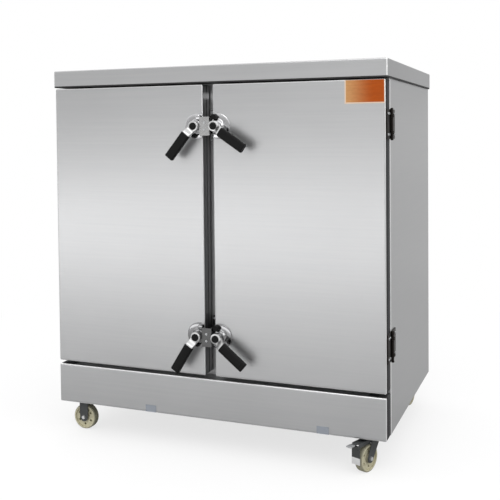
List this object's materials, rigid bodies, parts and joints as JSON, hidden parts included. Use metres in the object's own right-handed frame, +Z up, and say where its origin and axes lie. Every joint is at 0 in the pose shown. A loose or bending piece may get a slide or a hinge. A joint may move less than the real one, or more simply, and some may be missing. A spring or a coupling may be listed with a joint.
{
  "type": "rice steamer cabinet",
  "caption": "Wide stainless steam cabinet with two insulated doors, lever latches, side hinges, steam chambers with tray racks, water tanks, two fixed and two swivel casters.",
  "frame": {"origin": "on the floor under the middle of the bounding box", "axes": "+Z up, doors face -Y, +X to the right seen from the front"},
  "size_m": [1.3766, 0.9826, 1.466],
  "materials": {
    "stainless_skin": "horizontal brushed grain",
    "stainless_inner": "plain mill finish",
    "zinc_steel": "zinc plated",
    "brass_pipe": "machined",
    "chrome_casting": "polished",
    "dark_hinge": "dark satin",
    "dark_caster": "dark grey powder coat",
    "cream_wheel": "moulded",
    "insulation": "rigid foam",
    "black_seal": "matt",
    "black_plastic": "moulded",
    "orange_plate": "printed plain colour with a cream edge",
    "pale_plate": "plain"
  },
  "bodies": {
    "cabinet": {"back_panel": "stainless_skin", "base_frame": "zinc_steel", "body_screws": "chrome_casting", "bottom_pan": "stainless_inner", "cable_gland": "black_plastic", "caster_bolts": "zinc_steel", "caster_plates": "dark_caster", "drain_pipes": "brass_pipe", "face_frame": "stainless_skin", "foam_insulation": "insulation", "front_left_fork": "dark_caster", "heating_elements": "stainless_inner", "hinge_frame_leaves": "dark_hinge", "hinge_pins": "dark_hinge", "latch_keepers": "chrome_casting", "left_liner": "stainless_inner", "left_side_panel": "stainless_skin", "rear_left_fork": "dark_caster", "right_liner": "stainless_inner", "right_side_panel": "stainless_skin", "skirt_panel": "stainless_skin", "skirt_plates": "pale_plate", "steam_trays": "stainless_inner", "steam_vents": "stainless_inner", "top_cap": "stainless_skin", "tray_racks": "stainless_inner", "water_inlets": "brass_pipe", "water_tanks": "stainless_inner"},
    "left_door": {"left_door_skin": "stainless_skin", "left_door_inner": "stainless_skin", "left_door_foam": "insulation", "left_door_gasket": "black_seal", "left_hinge_leaves": "dark_hinge", "left_latch_bases": "chrome_casting", "left_latch_caps": "black_plastic", "left_door_screws": "chrome_casting"},
    "right_door": {"right_door_skin": "stainless_skin", "right_door_inner": "stainless_skin", "right_door_foam": "insulation", "right_door_gasket": "black_seal", "right_hinge_leaves": "dark_hinge", "right_latch_bases": "chrome_casting", "right_latch_caps": "black_plastic", "right_door_screws": "chrome_casting", "corner_plate": "orange_plate"},
    "upper_left_latch": {"upper_left_lever": "chrome_casting", "upper_left_grip": "black_plastic"},
    "upper_right_latch": {"upper_right_lever": "chrome_casting", "upper_right_grip": "black_plastic"},
    "lower_left_latch": {"lower_left_lever": "chrome_casting", "lower_left_grip": "black_plastic"},
    "lower_right_latch": {"lower_right_lever": "chrome_casting", "lower_right_grip": "black_plastic"},
    "front_left_roller": {"front_left_wheel": "cream_wheel"},
    "front_right_swivel": {"front_right_fork": "dark_caster"},
    "front_right_roller": {"front_right_wheel": "cream_wheel"},
    "rear_left_roller": {"rear_left_wheel": "cream_wheel"},
    "rear_right_swivel": {"rear_right_fork": "dark_caster"},
    "rear_right_roller": {"rear_right_wheel": "cream_wheel"},
    "brake": {"brake_pedal": "zinc_steel"}
  },
  "joints": [
    {"name": "left_door_hinge", "type": "hinge", "parent": "cabinet", "child": "left_door", "pos_m": [-0.6803, -0.3587, 0.8455], "axis": [0, 0, -1], "range_deg": [0, 180]},
    {"name": "right_door_hinge", "type": "hinge", "parent": "cabinet", "child": "right_door", "pos_m": [0.6803, -0.3587, 0.8455], "axis": [0, 0, 1], "range_deg": [0, 180]},
    {"name": "upper_left_latch_pivot", "type": "hinge", "parent": "left_door", "child": "upper_left_latch", "pos_m": [-0.041, -0.4533, 1.238], "axis": [0, 1, 0], "range_deg": [0, 90]},
    {"name": "upper_right_latch_pivot", "type": "hinge", "parent": "right_door", "child": "upper_right_latch", "pos_m": [0.041, -0.4533, 1.238], "axis": [0, -1, 0], "range_deg": [0, 90]},
    {"name": "lower_left_latch_pivot", "type": "hinge", "parent": "left_door", "child": "lower_left_latch", "pos_m": [-0.041, -0.4533, 0.45], "axis": [0, 1, 0], "range_deg": [0, 90]},
    {"name": "lower_right_latch_pivot", "type": "hinge", "parent": "right_door", "child": "lower_right_latch", "pos_m": [0.041, -0.4533, 0.45], "axis": [0, -1, 0], "range_deg": [0, 90]},
    {"name": "front_left_wheel_axle", "type": "hinge", "parent": "cabinet", "child": "front_left_roller", "pos_m": [-0.601, -0.3487, 0.05], "axis": [0, 1, 0], "continuous": true},
    {"name": "rear_left_wheel_axle", "type": "hinge", "parent": "cabinet", "child": "rear_left_roller", "pos_m": [-0.601, 0.4023, 0.05], "axis": [0, 1, 0], "continuous": true},
    {"name": "front_right_swivel_joint", "type": "hinge", "parent": "cabinet", "child": "front_right_swivel", "pos_m": [0.601, -0.3487, 0.1177], "axis": [0, 0, 1], "continuous": true},
    {"name": "front_right_wheel_axle", "type": "hinge", "parent": "front_right_swivel", "child": "front_right_roller", "pos_m": [0.58751, -0.38208, 0.05], "axis": [0.9272, -0.3746, 0], "continuous": true},
    {"name": "rear_right_swivel_joint", "type": "hinge", "parent": "cabinet", "child": "rear_right_swivel", "pos_m": [0.601, 0.4023, 0.1177], "axis": [0, 0, 1], "continuous": true},
    {"name": "rear_right_wheel_axle", "type": "hinge", "parent": "rear_right_swivel", "child": "rear_right_roller", "pos_m": [0.59352, 0.36709, 0.05], "axis": [0.9781, -0.2079, 0], "continuous": true},
    {"name": "brake_pivot", "type": "hinge", "parent": "front_right_swivel", "child": "brake", "pos_m": [0.56466, -0.43864, 0.1034], "axis": [0.9272, -0.3746, 0], "range_deg": [0, 9]}
  ]
}
